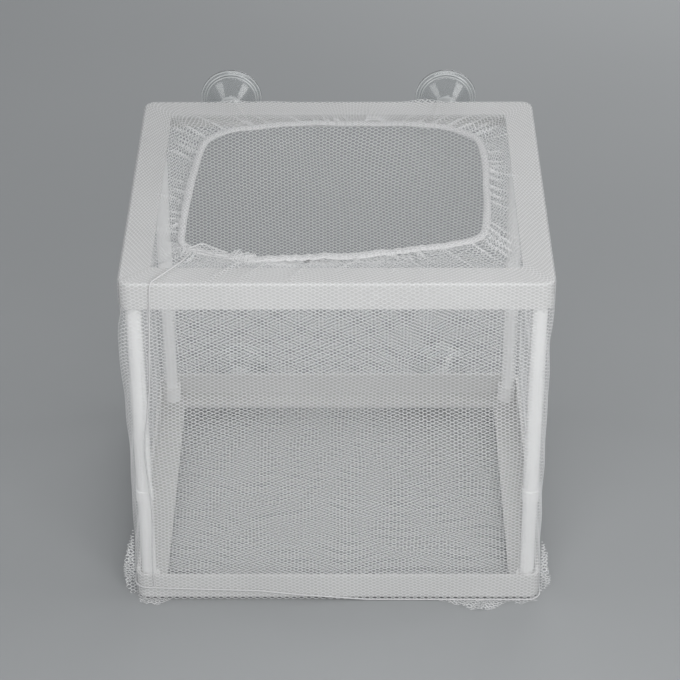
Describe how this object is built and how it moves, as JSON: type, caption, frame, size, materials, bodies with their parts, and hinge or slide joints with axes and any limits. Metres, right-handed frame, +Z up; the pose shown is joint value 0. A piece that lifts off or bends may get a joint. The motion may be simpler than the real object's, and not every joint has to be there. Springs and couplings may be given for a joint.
{
  "type": "fish breeding box",
  "caption": "Net breeding box for an aquarium: a mesh bag stretched over two white frames and corner posts, with clear suction cups on one side and an elastic mouth on top.",
  "frame": {"origin": "below the middle of the whole box, in the horizontal plane of the lowest point of the lower suction cups", "axes": "+Z up through the open mouth, +Y towards the tank's glass that the suction cups hold, +X to the right seen from the front"},
  "size_m": [0.1806, 0.1744, 0.1718],
  "materials": {
    "frame_plastic": "satin",
    "post_plastic": "semi-gloss",
    "cup_pvc": "glossy, clear soft PVC",
    "net": "knitted nylon mesh",
    "elastic": "knitted elastic"
  },
  "bodies": {
    "box": {"top_frame": "frame_plastic", "bottom_frame": "frame_plastic", "upper_post_front_left": "post_plastic", "upper_post_front_right": "post_plastic", "upper_post_rear_left": "post_plastic", "upper_post_rear_right": "post_plastic", "lower_post_front_left": "post_plastic", "lower_post_front_right": "post_plastic", "lower_post_rear_left": "post_plastic", "lower_post_rear_right": "post_plastic", "net_front": "net", "net_rear": "net", "net_left": "net", "net_right": "net", "net_floor": "net", "net_top": "net", "net_corner_front_left": "net", "net_corner_front_right": "net", "net_corner_rear_left": "net", "net_corner_rear_right": "net", "elastic_band": "elastic", "corner_seam_left": "net", "corner_seam_right": "net", "floor_seam": "net"},
    "cup_top_left": {"suction_cup_top_left": "cup_pvc"},
    "cup_top_right": {"suction_cup_top_right": "cup_pvc"},
    "cup_bottom_left": {"suction_cup_bottom_left": "cup_pvc"},
    "cup_bottom_right": {"suction_cup_bottom_right": "cup_pvc"}
  },
  "joints": [
    {"name": "cup_top_left_spin", "type": "hinge", "parent": "box", "child": "cup_top_left", "pos_m": [-0.048, 0.07115, 0.1581], "axis": [0, 1, 0], "continuous": true},
    {"name": "cup_top_right_spin", "type": "hinge", "parent": "box", "child": "cup_top_right", "pos_m": [0.048, 0.07115, 0.1581], "axis": [0, 1, 0], "continuous": true},
    {"name": "cup_bottom_left_spin", "type": "hinge", "parent": "box", "child": "cup_bottom_left", "pos_m": [-0.048, 0.07115, 0.0137], "axis": [0, 1, 0], "continuous": true},
    {"name": "cup_bottom_right_spin", "type": "hinge", "parent": "box", "child": "cup_bottom_right", "pos_m": [0.048, 0.07115, 0.0137], "axis": [0, 1, 0], "continuous": true}
  ]
}
